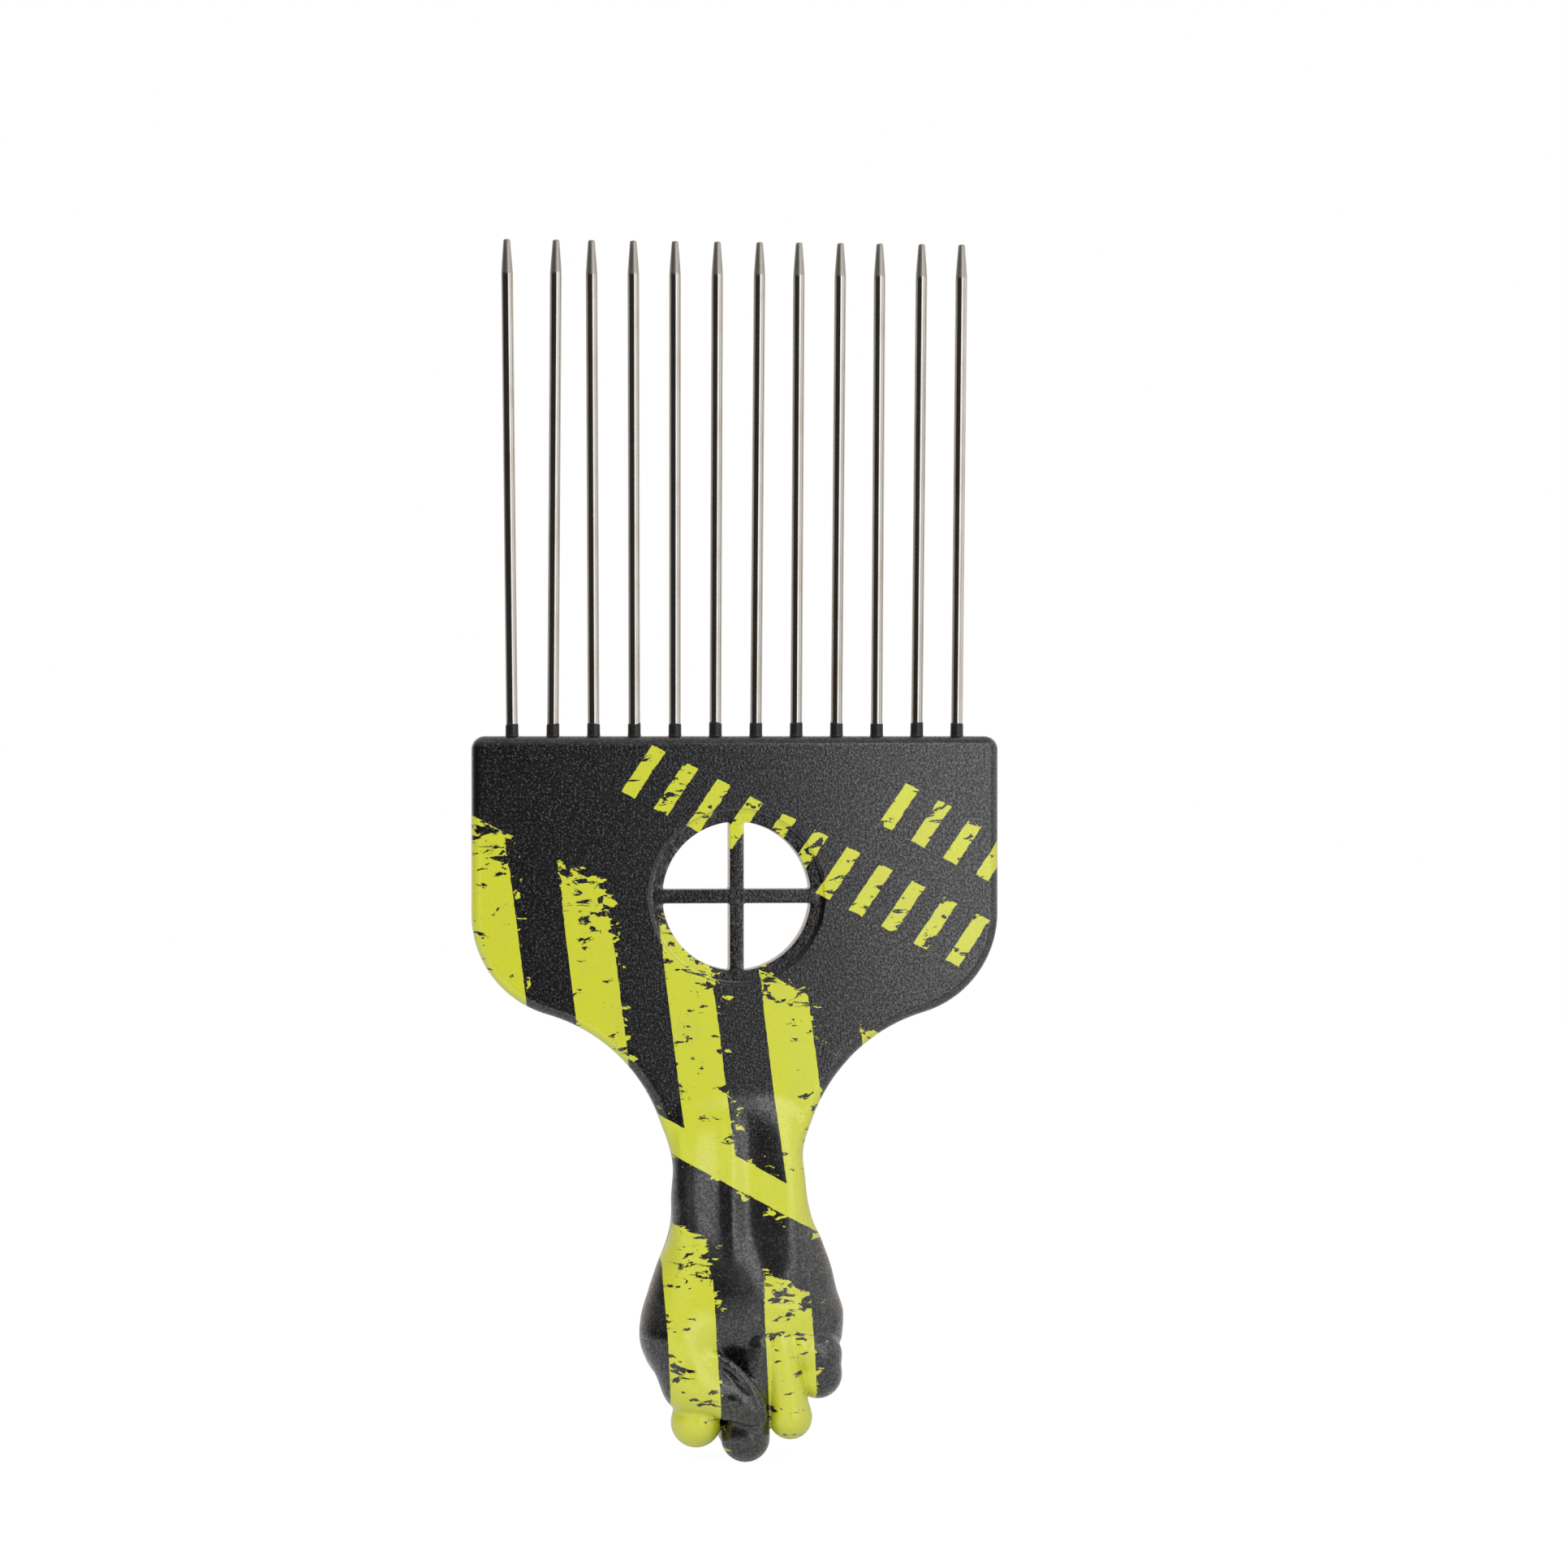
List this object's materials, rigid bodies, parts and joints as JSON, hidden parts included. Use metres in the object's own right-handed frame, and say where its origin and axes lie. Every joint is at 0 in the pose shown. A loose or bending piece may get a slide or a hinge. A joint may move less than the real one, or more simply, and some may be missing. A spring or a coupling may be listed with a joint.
{
  "type": "afro pick",
  "caption": "Hair pick with a row of long round steel teeth in a flat moulded handle, which has a round opening with a cross and ends in a closed fist.",
  "frame": {"origin": "on the blade's mid-plane and centre line, level with the fist's lowest knuckle", "axes": "+Z along the teeth from the fist to the tooth tips, +X to the right seen from the palm side, +Y from the palm side to the back of the hand"},
  "size_m": [0.0746, 0.0176, 0.1721],
  "materials": {
    "handle": "satin black moulding with a fine eroded grain and printed yellow hazard stripes",
    "teeth": "bright drawn wire with a ground taper at the end"
  },
  "bodies": {
    "root": {"handle": "handle", "tooth_01": "teeth", "tooth_02": "teeth", "tooth_03": "teeth", "tooth_04": "teeth", "tooth_05": "teeth", "tooth_06": "teeth", "tooth_07": "teeth", "tooth_08": "teeth", "tooth_09": "teeth", "tooth_10": "teeth", "tooth_11": "teeth", "tooth_12": "teeth"}
  },
  "joints": []
}
